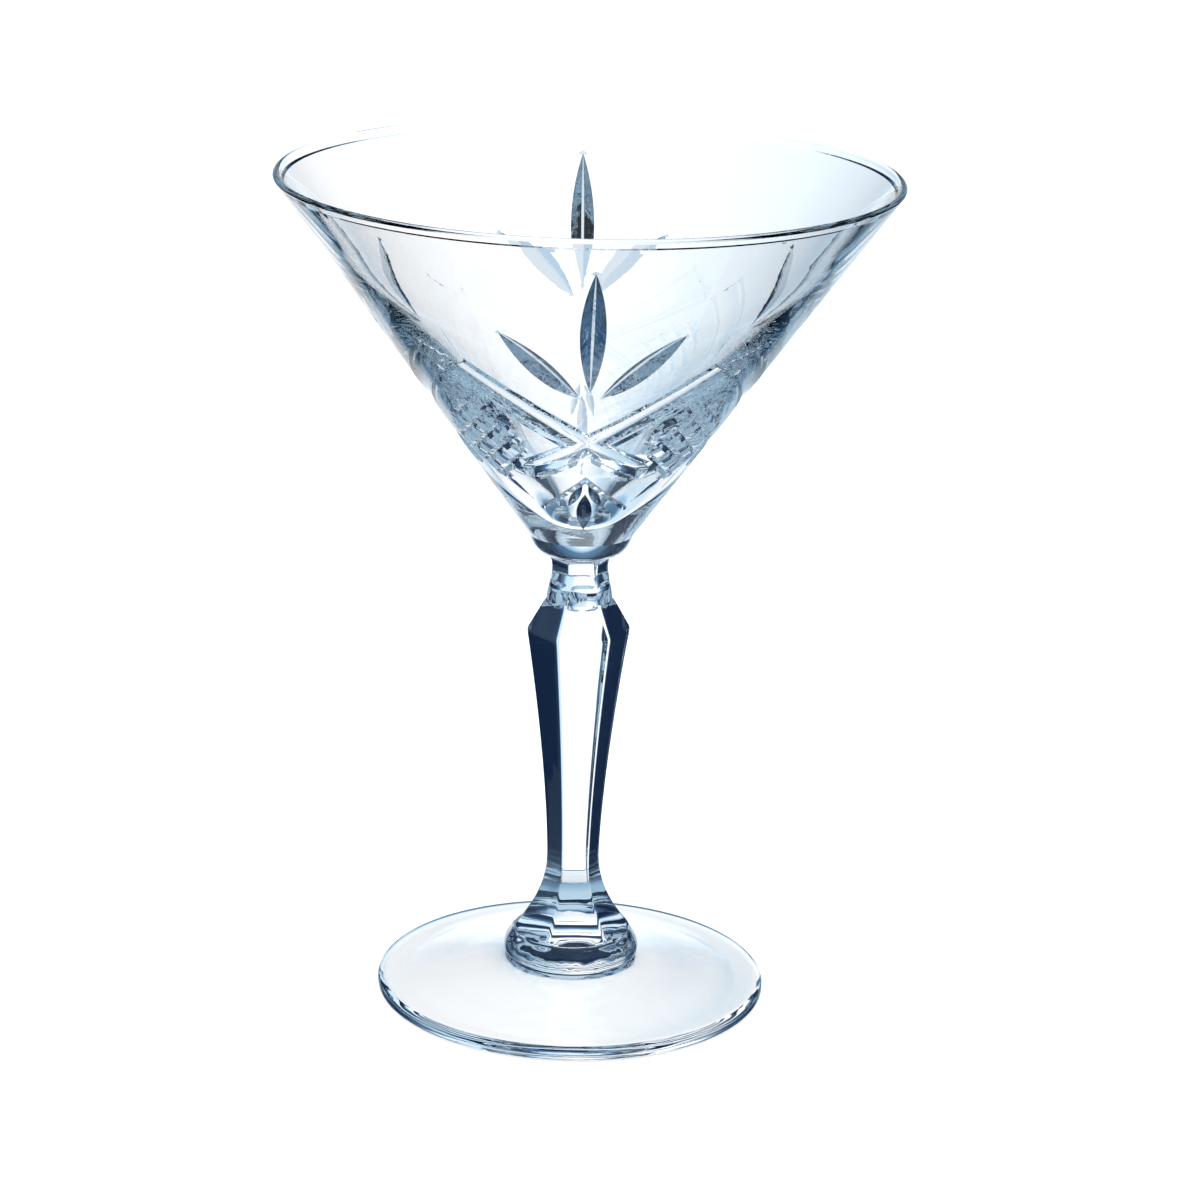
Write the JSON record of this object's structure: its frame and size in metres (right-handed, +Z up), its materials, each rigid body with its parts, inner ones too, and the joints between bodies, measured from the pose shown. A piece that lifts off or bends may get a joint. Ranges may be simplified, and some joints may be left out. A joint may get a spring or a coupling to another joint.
{
  "type": "martini glass",
  "caption": "Clear stemmed martini glass with a wide conical bowl, leaf and ribbon cutting, a six-sided tapered stem and a round foot.",
  "frame": {"origin": "on the table, at the middle of the foot", "axes": "+Z up along the stem; the middle leaf of one of the cut motifs faces -Y"},
  "size_m": [0.117, 0.117, 0.1615],
  "materials": {
    "clear_glass": "clear, polished, cut decoration bright"
  },
  "bodies": {
    "root": {"foot": "clear_glass", "base_button": "clear_glass", "stem": "clear_glass", "neck": "clear_glass", "bowl": "clear_glass"}
  },
  "joints": []
}
